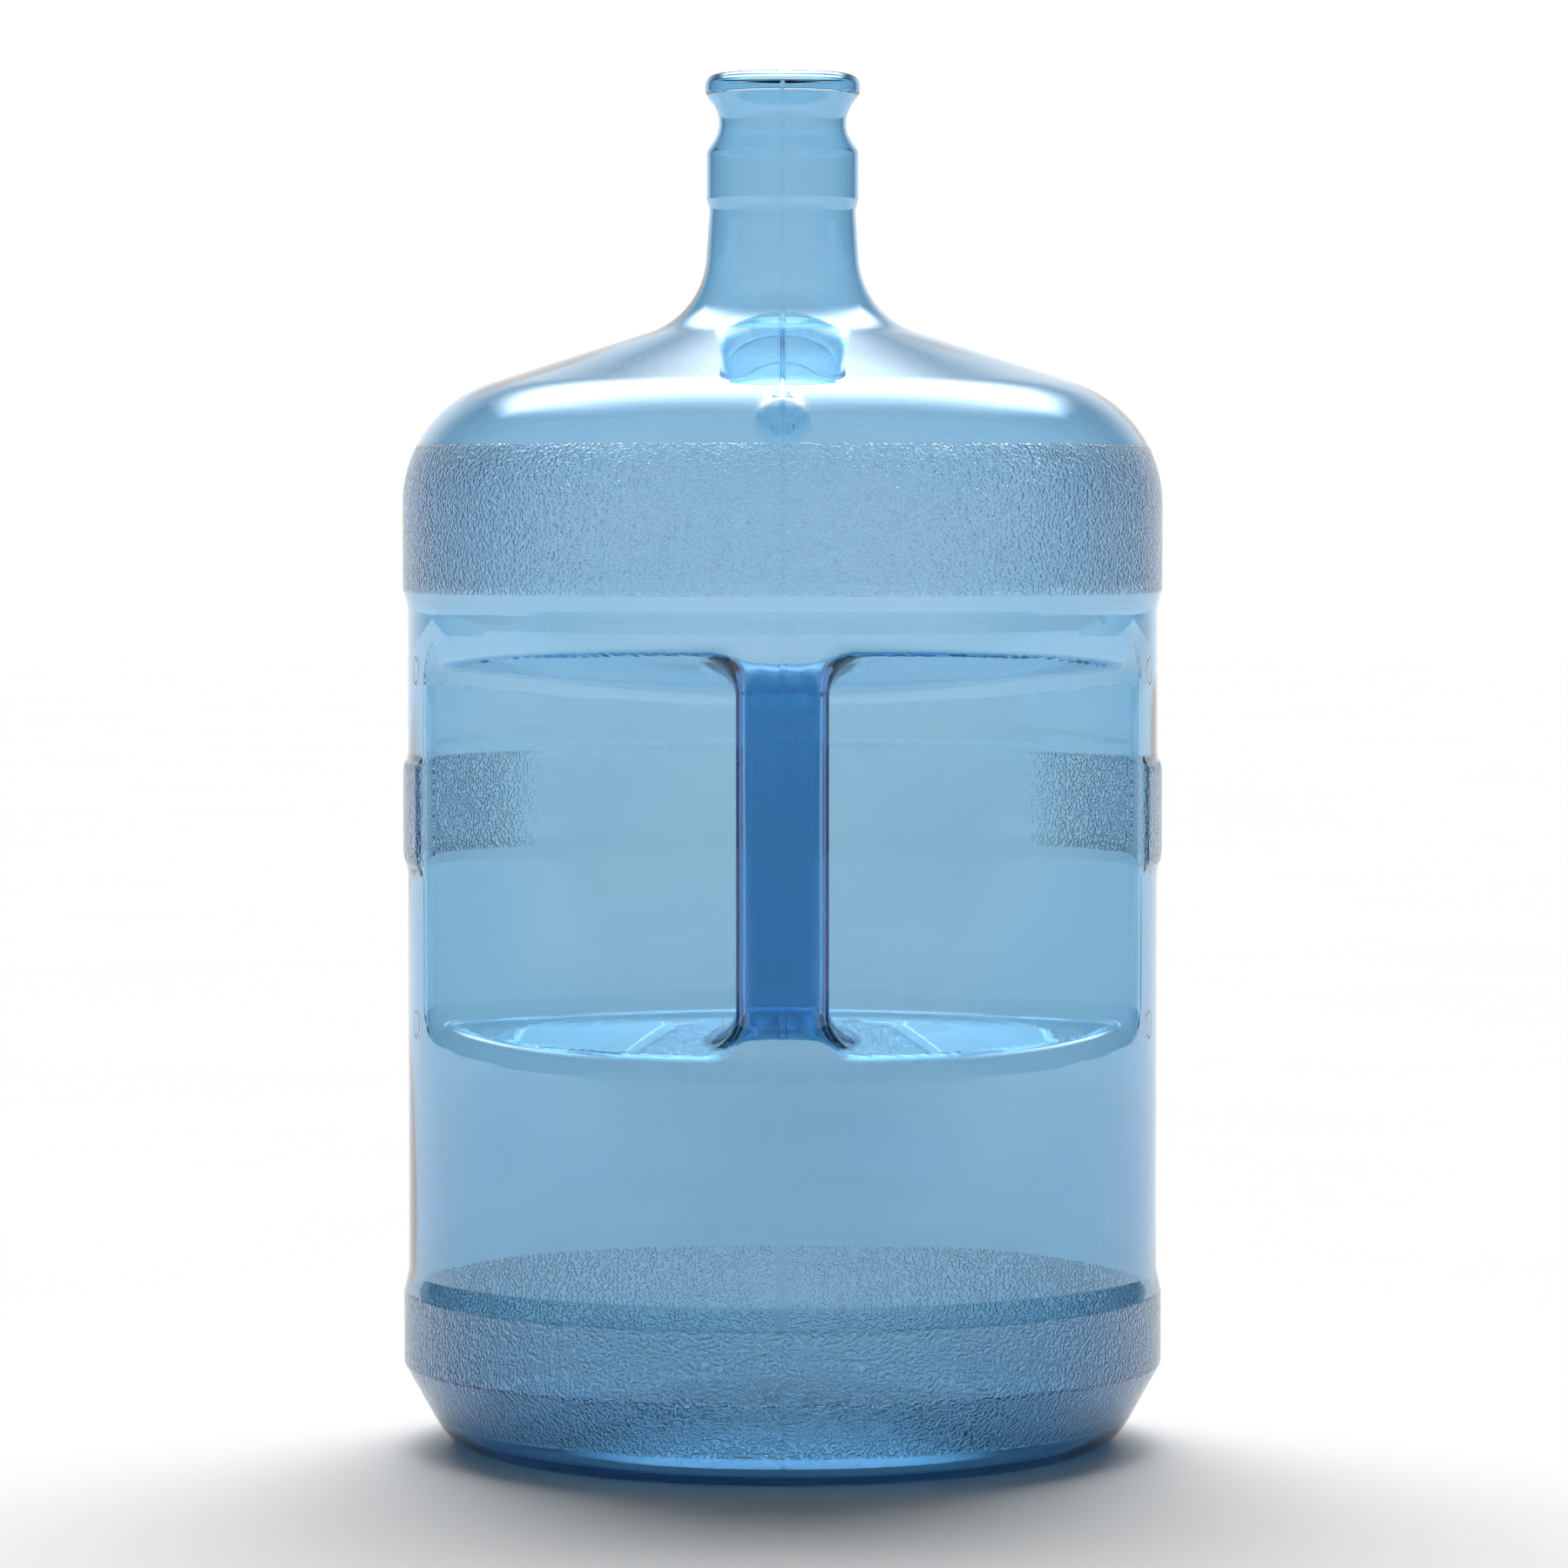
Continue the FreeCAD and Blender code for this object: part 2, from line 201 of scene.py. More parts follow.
# ---------------------------------------------------------------- looks, in metres
# Stippled stretches: bottom, top and the softness of their edges
UPPER_STIPPLE = (0.3046, 0.3560, 0.0004)
MIDDLE_STIPPLE = (0.2085, 0.2445, 0.0006)
MIDDLE_STIPPLE_Y = (-0.0450, -0.0440)
MIDDLE_STIPPLE_X = (0.078, 0.118)
LOWER_STIPPLE = (0.0115, 0.0560, 0.0005)
GRAIN_SCALE = 820.0
GRAIN_RAMP = (0.38, 0.66)
BUMP_HEIGHT = 0.00034

# Round marks at the sides of the recess: one is placed, its height from MARK_MIDDLE_Z, and the
# others mirror it. Their ring is between radii, and its depth is a share of BUMP_HEIGHT.
MARK_PLACE = (0.1285, -0.0347, 0.0623)
MARK_MIDDLE_Z = 0.2148
MARK_RING = (0.0040, 0.0046, 0.0052)
MARK_DEPTH = 0.6

# Bump that sharpens the boss: centre, radii between which it rises, and share of BUMP_HEIGHT
BOSS_BUMP_PLACE = (0, 0, 0.3650)
BOSS_BUMP_R = (0.0098, 0.0058)
BOSS_BUMP_Y = (0.0, -0.01)
BOSS_BUMP = 1.2

CLEAR_ROUGHNESS = 0.004
HAZE_ROUGHNESS = 0.015
STIPPLE_ROUGHNESS = 0.05
HAZE_SCALE = 30.0
HAZE_RAMP = (0.45, 0.8)
POLYCARBONATE_IOR = 1.585

# Surface tint by height: a grey tint in the middle, lighter towards the top as painted light and
# darker towards the bottom as painted shade, and the heights over which each gives way to the next
MIDDLE_TINT = (0.88, 0.87, 0.905, 1)
UPPER_PAINTED_LIGHT = (0.925, 0.91, 0.955, 1)
LOWER_PAINTED_SHADE = (0.79, 0.785, 0.83, 1)
UPPER_PAINTED_LIGHT_Z = (0.22, 0.31)
LOWER_PAINTED_SHADE_Z = (0.18, 0.10)
PLASTIC_BLUE = (0.28, 0.74, 0.914, 1)
PLASTIC_DENSITY = 500.0

# Floor: two pale greys mottled together, and the painted shade that it falls off to in front, towards
# the camera
FLOOR_SIDE = 12
FLOOR_GREYS = ((0.87, 0.87, 0.87, 1), (0.885, 0.885, 0.885, 1))
FLOOR_MOTTLE_SCALE = 3.0
FLOOR_PAINTED_SHADE = (0.25, 0.25, 0.25, 1)
FLOOR_PAINTED_SHADE_Y = (-0.5, -1.5)
FLOOR_ROUGHNESS = 0.9

# Softbox overhead, in degrees from straight up, towards the back, with eased edges
SOFTBOX_STRENGTH = 9.0
SOFTBOX_FRONT = (-8, 40)
SOFTBOX_FRONT_BOW = -0.6
SOFTBOX_BACK = (66, 40)
SOFTBOX_SIDE = (36, 24)
SOFTBOX_TAPER_FROM = 45
SOFTBOX_TAPER = 0.8

# Backdrop: by the upward and backward parts of the direction, over an even dim light
BACKDROP_UP = (0.62, 0.25)
BACKDROP_BACK = (0.70, 0.96)
BACKDROP_STRENGTH = 0.94
DIM_LIGHT = 0.08


# ---------------------------------------------------------------- distance fields
# A field is a (4, n) array: the signed distance, then its gradient.
def field(value, gx, gy, gz):
    return np.stack(np.broadcast_arrays(value, gx, gy, gz))


def both(a, b, radius):
    """What is inside both a and b, with the edge between them rounded to a radius."""
    c = np.clip((a[1:] * b[1:]).sum(axis=0), -0.999, 0.999)
    p, q = a[0] + radius, b[0] + radius
    spread = 1 - c * c
    reach = np.sqrt(np.maximum((p * p + q * q - 2 * c * p * q) / spread, 1e-9))
    rounded = (p > c * q) & (q > c * p)
    plain = np.where(a[0] > b[0], a, b)
    slope = ((p - c * q) * a[1:] + (q - c * p) * b[1:]) / (spread * reach)
    return np.where(rounded, np.concatenate(([reach - radius], slope)), plain)


def either(a, b, radius):
    """What is inside a or b, with the corner between them filled to a radius."""
    return -both(-a, -b, radius)


def smooth(t):
    """0 to 1 with level ends, and its slope."""
    t = np.clip(t, 0.0, 1.0)
    return t * t * (3 - 2 * t), 6 * t * (1 - t)


def body_field(x, y, z):
    """The round body, with the raised band round its middle."""
    r = np.hypot(x, y)
    up, up_slope = smooth((z - MID_BAND_LOW) / MID_BAND_BEVELS[0])
    down, down_slope = smooth((MID_BAND_HIGH - z) / MID_BAND_BEVELS[1])
    end_run = MID_BAND_END_Y[1] - MID_BAND_END_Y[0]
    end, end_slope = smooth((y - MID_BAND_END_Y[0]) / end_run)
    rise = BAND_R - BODY_R
    height = rise * up * down * end
    by_z = rise * end * (up_slope / MID_BAND_BEVELS[0] * down - up * down_slope / MID_BAND_BEVELS[1])
    by_y = rise * up * down * end_slope / end_run
    lean = np.sqrt(1 + by_z**2 + by_y**2)
    return field((r - BODY_R - height) / lean, x / r / lean, (y / r - by_y) / lean, -by_z / lean)


def ledge_field(x, y, z, level, way):
    """The open side of a ledge: below it for way 1, above it for way -1."""
    half = 2 * RECESS_SIDE[0]
    drop = LEDGE_SPREAD * (half / LEDGE_SPREAD_X) ** 2
    radius = (half**2 + drop**2) / (2 * drop)
    fall = np.sqrt(np.maximum(radius**2 - x**2, 1.0))
    arc = radius - fall
    by_x = way * x / fall
    by_y = -way * LEDGE_SLOPE
    height = level + way * (arc + LEDGE_SLOPE * (RECESS_Y - y))
    lean = np.sqrt(1 + by_x**2 + by_y**2)
    return field(way * (z - height) / lean, -way * by_x / lean, -way * by_y / lean, way / lean)


def recess_field(x, y, z):
    """The space taken out of the body behind the handle."""
    sag = RECESS_SIDE[1] - RECESS_Y
    radius = (RECESS_SIDE[0] ** 2 + sag**2) / (2 * sag)
    back = y - (RECESS_Y + radius)
    reach = np.hypot(x, back)
    wall = field(radius - reach, -x / reach, -back / reach, 0.0)
    open_up = both(wall, ledge_field(x, y, z, SILL_Z, -1), RECESS_ROUND)
    return both(open_up, ledge_field(x, y, z, LINTEL_Z, 1), RECESS_ROUND)


def grip_field(x, y, z):
    """The handle's bar, as an upright of rounded rectangle section."""
    qx = np.abs(x) - (GRIP_HALF[0] - GRIP_CORNER)
    qy = np.abs(y - GRIP_MIDDLE_Y) - (GRIP_HALF[1] - GRIP_CORNER)
    ox, oy = np.maximum(qx, 0.0), np.maximum(qy, 0.0)
    out = np.hypot(ox, oy)
    value = out + np.minimum(np.maximum(qx, qy), 0.0) - GRIP_CORNER
    flat = out < 1e-6
    safe = np.where(flat, 1.0, out)
    gx = np.where(flat, qx > qy, ox / safe) * np.sign(x)
    gy = np.where(flat, qx <= qy, oy / safe) * np.sign(y - GRIP_MIDDLE_Y)
    return field(value, gx, gy, 0.0)


def jug_field(x, y, z):
    """The outside of the jug's middle."""
    body = both(body_field(x, y, z), -recess_field(x, y, z), LIP_ROUND)
    return either(body, grip_field(x, y, z), GRIP_FLARE)


def near_grip(x, y, z, distance):
    """1 in the handle's bar, falling to 0 at a distance from it."""
    return smooth(1 - np.maximum(grip_field(x, y, z)[0], 0.0) / distance)[0]


def wall_at(x, y, z):
    """Thickness of the plastic, which is greater in the handle."""
    near = near_grip(x, y, z, GRIP_WALL_REACH)
    low, _ = smooth((z - GRIP_WALL_Z[0]) / GRIP_WALL_FADE)
    high, _ = smooth((GRIP_WALL_Z[1] - z) / GRIP_WALL_FADE)
    return np.interp(z, WALL_Z, WALL_MM) + GRIP_EXTRA_WALL * near * low * high


# ---------------------------------------------------------------- meshing the middle
def steps(*runs):
    """Grid lines through (end, pitch) runs, the first being the start."""
    lines = [runs[0]]
    for end, pitch in runs[1:]:
        count = max(1, round((end - lines[-1]) / pitch))
        lines += list(np.linspace(lines[-1], end, count + 1)[1:])
    return np.array(lines)


def grid_lines():
    """Lines of the middle's grid, close together at the ledges, bevels and parting line."""
    xs = steps(-GRID_SIDE, (-100.0, 2.35), (-20.0, 3.5), (-2.4, 2.2))
    xs = np.append(xs, SEAM_LINES)
    xs = np.concatenate([xs, -xs[::-1]])
    ys = steps(-GRID_SIDE, (-40.0, 2.35), (-30.0, 3.4), (GRID_SIDE, 6.0))
    zs = steps(
        JOIN_LOW,
        (172.0, 2.3),
        (204.0, 4.6),
        (213.0, 2.2),
        (241.0, 4.6),
        (248.0, 1.9),
        (262.0, 4.6),
        (JOIN_HIGH, 2.3),
    )
    return xs, ys, zs


def mesh_middle(xs, ys, zs, values):
    """Surface net of values below 0: vertices, quads that face out, and each one's grid layer."""
    inside = values < 0
    shape = tuple(n - 1 for n in values.shape)
    total = np.zeros((3,) + shape)
    count = np.zeros(shape)
    grids = np.meshgrid(xs, ys, zs, indexing="ij")
    for axis in range(3):
        low = tuple(slice(None, -1) if a == axis else slice(None) for a in range(3))
        high = tuple(slice(1, None) if a == axis else slice(None) for a in range(3))
        crossed = inside[low] != inside[high]
        share = np.where(crossed, values[low] / np.where(crossed, values[low] - values[high], 1), 0)
        points = [g[low] + share * (g[high] - g[low]) for g in grids]
        others = [a for a in range(3) if a != axis]
        for side_a in (0, 1):
            for side_b in (0, 1):
                pick = [slice(None)] * 3
                for other, side in zip(others, (side_a, side_b)):
                    pick[other] = slice(1, None) if side else slice(None, -1)
                pick = tuple(pick)
                hit = crossed[pick]
                count += hit
                for a in range(3):
                    total[a] += np.where(hit, points[a][pick], 0.0)
    used = count > 0
    number = np.full(shape, -1)
    number[used] = np.arange(used.sum())
    verts = (total[:, used] / count[used]).T
    layer = np.nonzero(used)[2]
    quads = []
    for axis in range(3):
        a, b = (axis + 1) % 3, (axis + 2) % 3
        low = [slice(1, -1)] * 3
        high = [slice(1, -1)] * 3
        low[axis], high[axis] = slice(None, -1), slice(1, None)
        first, second = inside[tuple(low)], inside[tuple(high)]
        corners = []
        for side_a, side_b in ((0, 0), (1, 0), (1, 1), (0, 1)):
            pick = [slice(None)] * 3
            pick[a] = slice(side_a, values.shape[a] - 2 + side_a)
            pick[b] = slice(side_b, values.shape[b] - 2 + side_b)
            corners.append(number[tuple(pick)])
        ring = np.stack(corners, axis=-1)
        quads.append(ring[first & ~second])
        quads.append(ring[second & ~first][:, ::-1])
    return verts, np.concatenate(quads), layer


def settle(verts, faces, layer, last, wall):
    """Evens the net out along its surface and puts every vertex exactly on it.

    The first and last layers keep their heights, where the turned parts join them.
    """
    pairs = np.concatenate([faces[:, [i, (i + 1) % 4]] for i in range(4)])
    ends = (layer == 0) | (layer == last)
    free = ~ends & (np.abs(verts[:, 0]) > SEAM_KEPT)
    for turn in range(EVENING_TURNS + 1):
        if turn:
            total = np.zeros_like(verts)
            count = np.zeros(len(verts))
            np.add.at(total, pairs[:, 0], verts[pairs[:, 1]])
            np.add.at(count, pairs[:, 0], 1)
            mean = total / np.maximum(count, 1)[:, None]
            verts = np.where(free[:, None], 0.5 * verts + 0.5 * mean, verts)
        for _ in range(SETTLE_TURNS):
            f = jug_field(*verts.T)
            f[0] += wall(*verts.T)
            move = f[1:] * (f[0] / np.maximum((f[1:] ** 2).sum(axis=0), 0.05))
            move[2, ends] = 0.0
            verts = verts - np.clip(move, -LONGEST_MOVE, LONGEST_MOVE).T
    return verts


def field_normals(verts, wall):
    """Exact unit normals of the surface that lies a wall's thickness inside the jug."""
    slope = jug_field(*verts.T)[1:].T
    small = 0.05
    for axis in range(3):
        step = np.zeros(3)
        step[axis] = small
        slope[:, axis] += (wall(*(verts + step).T) - wall(*(verts - step).T)) / (2 * small)
    return slope / np.linalg.norm(slope, axis=1)[:, None]


# ---------------------------------------------------------------- turned ends
def unit(a, b):
    length = math.hypot(b[0] - a[0], b[1] - a[1])
    return ((b[0] - a[0]) / length, (b[1] - a[1]) / length)


def outline(stations, pitch, turn_deg):
    """Points along straight runs between (radius, height, rounding) corners, with the corners
    rounded. Arcs get a point at least every turn_deg, and everything one every pitch."""
    points = [stations[0][:2]]

    def run_to(end):
        start = points[-1]
        count = max(1, math.ceil(math.dist(start, end) / pitch))
        for i in range(1, count + 1):
            share = i / count
            points.append(tuple(s + (e - s) * share for s, e in zip(start, end)))

    for before, corner, after in zip(stations, stations[1:], stations[2:]):
        back, ahead = unit(corner, before), unit(corner, after)
        half = math.acos(max(-1, min(1, back[0] * ahead[0] + back[1] * ahead[1]))) / 2
        radius = max(corner[2], 0.05)
        run = radius / math.tan(half)
        bisector = unit((0, 0), (back[0] + ahead[0], back[1] + ahead[1]))
        away = radius / math.sin(half)
        centre = (corner[0] + bisector[0] * away, corner[1] + bisector[1] * away)
        first = (corner[0] + back[0] * run, corner[1] + back[1] * run)
        run_to(first)
        turned = math.pi - 2 * half
        side = 1 if back[0] * ahead[1] - back[1] * ahead[0] < 0 else -1
        count = max(1, math.ceil(max(math.degrees(turned) / turn_deg, radius * turned / pitch)))
        for i in range(1, count + 1):
            angle = side * turned * i / count
            x, y = first[0] - centre[0], first[1] - centre[1]
            cos, sin = math.cos(angle), math.sin(angle)
            points.append((centre[0] + x * cos - y * sin, centre[1] + x * sin + y * cos))
    run_to(stations[-1][:2])
    return np.array(points)


def inward(points):
    """Unit normals of an outline that runs up the outside, towards the plastic."""
    along = np.gradient(points, axis=0)
    along /= np.hypot(*along.T)[:, None]
    return np.stack([-along[:, 1], along[:, 0]], axis=1)


def column_angles(radius):
    """Angles of a ring's vertices: close together at the parting line, front and back."""
    near = SEAM_STEPS * min(1.0, radius / SEAM_STEPS_R)

    def cluster(wide):
        offsets = np.concatenate([near, near[-1] + (wide - SEAM_STEPS[-1]) * radius / WIDE_STEPS_R])
        angles = np.arcsin(np.clip(offsets / radius, 0, 0.9))
        return np.concatenate([-angles[::-1], [0.0], angles])

    front = cluster(FRONT_STEPS) - math.pi / 2
    back = cluster(BACK_STEPS) + math.pi / 2
    right = np.linspace(front[-1], back[0], SIDE_COLUMNS + 2)[1:-1]
    left = np.linspace(back[-1], front[0] + TURN, SIDE_COLUMNS + 2)[1:-1]
    return np.concatenate([front, right, back, left])


def turned_rings(points):
    """Vertices of rings round Z through (radius, height) points, and the number in a ring."""
    rings = []
    for r, z in points:
        angles = column_angles(max(r, 0.5))
        rings.append(np.stack([r * np.cos(angles), r * np.sin(angles), np.full(len(angles), z)], 1))
    return np.concatenate(rings), len(rings[0])


class Shell:
    """The mesh as it grows: each part's vertices, whether they are outside, their exact
    normals where those are known, and the faces."""

    def __init__(self):
        self.verts = []
        self.outside = []
        self.normals = []
        self.faces = []
        self.size = 0

    def add(self, verts, outside, faces, normals=None):
        start = self.size
        self.verts.append(verts)
        self.normals.append(np.zeros_like(verts) if normals is None else normals)
        self.outside.append(np.broadcast_to(outside, len(verts)).astype(float))
        self.faces += (np.asarray(faces) + start).tolist()
        self.size += len(verts)
        return start

    def add_turned(self, points, outside):
        """A turned part. Returns the numbers of its first and last rings."""
        verts, across = turned_rings(points)
        rings = len(points)
        normals = np.zeros_like(verts)
        for end, ring in ((0, slice(0, across)), (-1, slice(-across, None))):
            if points[end][0] > WIDE_RING:
                radial = verts[ring] * (1, 1, 0)
                away = np.hypot(*radial.T[:2])[:, None]
                normals[ring] = radial / away * (1.0 if outside[end] else -1.0)
        grid = np.arange(rings * across).reshape(rings, across)
        beside = np.roll(grid, -1, axis=1)
        quads = np.stack([grid[:-1], beside[:-1], beside[1:], grid[1:]], axis=-1).reshape(-1, 4)
        start = self.add(verts, np.repeat(outside, across), quads, normals)
        return grid[0] + start, grid[-1] + start

    def place(self, numbers):
        return np.concatenate(self.verts)[numbers]

    def close(self, ring, height, last):
        """Closes a ring to a point on the axis, where an outline starts or, if last, ends."""
        outside = np.concatenate(self.outside)[ring[0]]
        centre = self.add(np.array([[0.0, 0.0, height]]), outside, np.zeros((0, 3), int))
        for a, b in zip(ring, np.roll(ring, -1)):
            self.faces.append([int(a), int(b), centre] if last else [int(b), int(a), centre])

    def stitch(self, lower, upper):
        """Joins two rings with triangles, going from lower to upper along the outline."""

        def ordered(ring):
            p = self.place(ring)
            angle = np.mod(np.arctan2(p[:, 1], p[:, 0]), TURN)
            order = np.argsort(angle)
            numbers = np.asarray(ring)[order]
            return np.append(numbers, numbers[0]), np.append(angle[order], angle[order][0] + TURN)

        a, a_angle = ordered(lower)
        b, b_angle = ordered(upper)
        i = j = 0
        while i < len(a) - 1 or j < len(b) - 1:
            a_next = a_angle[i + 1] if i < len(a) - 1 else math.inf
            b_next = b_angle[j + 1] if j < len(b) - 1 else math.inf
            if a_next <= b_next:
                self.faces.append([int(a[i]), int(a[i + 1]), int(b[j])])
                i += 1
            else:
                self.faces.append([int(a[i]), int(b[j + 1]), int(b[j])])
                j += 1


def foot_outline():
    """Outside of the base, from near the axis out to the foot ring and up to the middle."""
    dome = (DOME_R**2 + DOME_RISE**2) / (2 * DOME_RISE)
    radii = np.linspace(*DOME_RINGS_R, DOME_RINGS)
    cap = [(r, DOME_RISE - dome + math.sqrt(dome**2 - r**2)) for r in radii]
    stations = [
        (*cap[-1], 0.0),
        (DOME_R, 0.0, FOOT_RING_ROUND),
        (*FOOT_CORNER, FOOT_ROUND),
        (BAND_R, HEEL_TOP, BAND_ROUND),
        (BAND_R, LOWER_BAND_TOP, BAND_ROUND),
        (BODY_R, LOWER_WALL_BOTTOM, LOWER_WALL_ROUND),
        (BODY_R, JOIN_LOW - JOIN_GAP, 0.0),
    ]
    return np.concatenate([cap[:-1], outline(stations, pitch=4.2, turn_deg=9.0)])


def top_outlines():
    """Outside of the upper band, shoulder and neck, and the finish from there and back inside."""
    stations = [
        (BODY_R, JOIN_HIGH + JOIN_GAP, 0.0),
        (BODY_R, UPPER_WALL_TOP, UPPER_WALL_ROUND),
        (BAND_R, UPPER_BAND_BOTTOM, BAND_ROUND),
        (BAND_R, SHOULDER_CORNER, SHOULDER_ROUND),
        (*NECK_ROOT, NECK_ROOT_ROUND),
        (*NECK_TOP, 0.0),
    ]
    shoulder = outline(stations, pitch=3.3, turn_deg=5.0)
    finish = outline(FINISH, pitch=3.5, turn_deg=15.0)
    return shoulder, finish


def build_shell():
    """The whole shell's faces, vertices, which vertices are outside, and known exact normals."""
    shell = Shell()
    xs, ys, zs = grid_lines()
    x, y, z = (g.ravel() for g in np.meshgrid(xs, ys, zs, indexing="ij"))
    shape = (len(xs), len(ys), len(zs))
    outside_value = jug_field(x, y, z)[0]
    inside_value = outside_value + wall_at(x, y, z)

    loops = {}
    for name, value, wall in (
        ("outer", outside_value, lambda *p: 0.0),
        ("inner", inside_value, wall_at),
    ):
        verts, quads, layer = mesh_middle(xs, ys, zs, value.reshape(shape))
        last = len(zs) - 2
        verts = settle(verts, quads, layer, last, wall)
        normals = field_normals(verts, wall)
        if name == "inner":
            quads, normals = quads[:, ::-1], -normals
        start = shell.add(verts, float(name == "outer"), quads, normals)
        loops[name] = (np.nonzero(layer == 0)[0] + start, np.nonzero(layer == last)[0] + start)

    foot = foot_outline()
    foot_wall = np.interp(foot[:, 1], WALL_Z, WALL_MM)
    first, last = shell.add_turned(foot, np.ones(len(foot)))
    shell.close(first, DOME_RISE, False)
    shell.stitch(last, loops["outer"][0])
    floor = (foot + inward(foot) * foot_wall[:, None])[::-1]
    first, last = shell.add_turned(floor, np.zeros(len(floor)))
    shell.stitch(loops["inner"][0], first)
    shell.close(last, DOME_RISE + foot_wall[0], True)

    shoulder, finish = top_outlines()
    shoulder_wall = np.interp(shoulder[:, 1], WALL_Z, WALL_MM)
    lining = (shoulder + inward(shoulder) * shoulder_wall[:, None])[::-1]
    lining = lining[lining[:, 1] < NECK_TOP[1] - LINING_GAP]
    whole = np.concatenate([shoulder, finish[1:], lining])
    outside = np.zeros(len(whole))
    outside[: len(shoulder) + int(np.argmax(finish[:, 1] > HEIGHT - 0.1))] = 1.0
    first, last = shell.add_turned(whole, outside)
    shell.stitch(loops["outer"][1], first)
    shell.stitch(last, loops["inner"][1])
    joined = (np.concatenate(part) for part in (shell.verts, shell.outside, shell.normals))
    return shell.faces, *joined


def drift(points, size, seed):
    """Slow random variation over about size millimetres, within 1 each way."""
    spread = (0.7, 1.6)
    softness = 1.2
    rng = np.random.default_rng(seed)
    total = np.zeros(len(points))
    for _ in range(DRIFT_WAVES):
        wave = rng.normal(size=3)
        wave *= TURN / (size * rng.uniform(*spread)) / np.linalg.norm(wave)
        total += np.sin(points @ wave + rng.uniform(0, TURN))
    return np.tanh(total / math.sqrt(DRIFT_WAVES) / softness)


def finish_surface(verts, outside, normals):
    """Parting ridge, shoulder boss and the slow unevenness of a blown wall."""
    x, y, z = verts.T
    ridge = RIDGE * np.exp(-((x / RIDGE_HALF_WIDTH) ** 2))
    ridge *= smooth((RIDGE_TOP - z) / RIDGE_TOP_FADE)[0] * smooth(z / RIDGE_FOOT_FADE)[0]
    away = np.hypot(x, (z - BOSS_Z) / BOSS_SQUASH)
    boss = smooth((BOSS_R - away) / BOSS_EDGE + 0.5)[0] * (y < 0) * (z > BOSS_BOTTOM)
    raised = (ridge + BOSS_RISE * boss) * outside

    in_handle = near_grip(x, y, z, STREAK_REACH) * (z > STREAK_Z[0]) * (z < STREAK_Z[1])
    first, second = (np.sin(x * turn + at) for turn, at in zip(STREAK_TURNS, STREAK_STARTS))
    streaks = first + STREAK_SECOND * second
    tall = smooth((DRIFT_TOP - z) / DRIFT_FADE)[0]
    uneven = STREAK * streaks * in_handle + DRIFT * drift(verts, DRIFT_SIZE, DRIFT_SEED) * tall
    lift = raised + np.where(outside > 0.5, 0.0, uneven)
    return verts + normals * lift[:, None]


def mesh_normals(mesh):
    mesh.update()
    normals = np.empty(len(mesh.vertices) * 3)
    mesh.vertex_normals.foreach_get("vector", normals)
    return normals.reshape(-1, 3)


def jug():
    """The shell as one object. Its shading normals are the exact ones, turned by as much as
    the finish of the surface turns the mesh's own."""
    faces, verts, outside, exact = build_shell()
    mesh = bpy.data.meshes.new("jug_shell")
    mesh.from_pydata(verts, [], faces)
    before = mesh_normals(mesh)
    moved = finish_surface(verts, outside, before) * MM
    mesh.vertices.foreach_set("co", moved.ravel())
    mesh.polygons.foreach_set("use_smooth", np.ones(len(faces), bool))
    after = mesh_normals(mesh)
    known = np.linalg.norm(exact, axis=1) > 0.5
    shading = np.where(known[:, None], exact + after - before, after)
    mesh.normals_split_custom_set_from_vertices(shading.tolist())
    side = mesh.attributes.new("outside", "FLOAT", "POINT")
    side.data.foreach_set("value", outside)
    mesh.update()
    mesh.validate()
    shell = bpy.data.objects.new("jug_shell", mesh)
    bpy.context.collection.objects.link(shell)
    return shell


# ---------------------------------------------------------------- material
class Nodes:
    """Short ways to add and link shader nodes."""

    def __init__(self, tree):
        self.tree = tree
        tree.nodes.clear()

    def add(self, kind, inputs=None, **settings):
        node = self.tree.nodes.new(kind)
        for key, value in settings.items():
            setattr(node, key, value)
        for key, value in (inputs or {}).items():
            if isinstance(value, bpy.types.NodeSocket):
                self.tree.links.new(value, node.inputs[key])
            else:
                node.inputs[key].default_value = value
        return node

    def math(self, operation, a, b=0.0, c=0.0):
        return self.add("ShaderNodeMath", {0: a, 1: b, 2: c}, operation=operation).outputs[0]

    def ramp(self, value, low, high):
        """0 below low to 1 above high, eased."""
        node = self.add(
            "ShaderNodeMapRange",
            {"Value": value, "From Min": low, "From Max": high},
            interpolation_type="SMOOTHSTEP",
        )
        return node.outputs["Result"]

    def mix(self, factor, low, high):
        """The colour low where factor is 0, to high where it is 1."""
        node = self.add("ShaderNodeMix", {"Factor": factor, 6: low, 7: high}, data_type="RGBA")
        return node.outputs[2]

    def distance(self, point, place):
        node = self.add("ShaderNodeVectorMath", {0: point, 1: place}, operation="DISTANCE")
        return node.outputs["Value"]


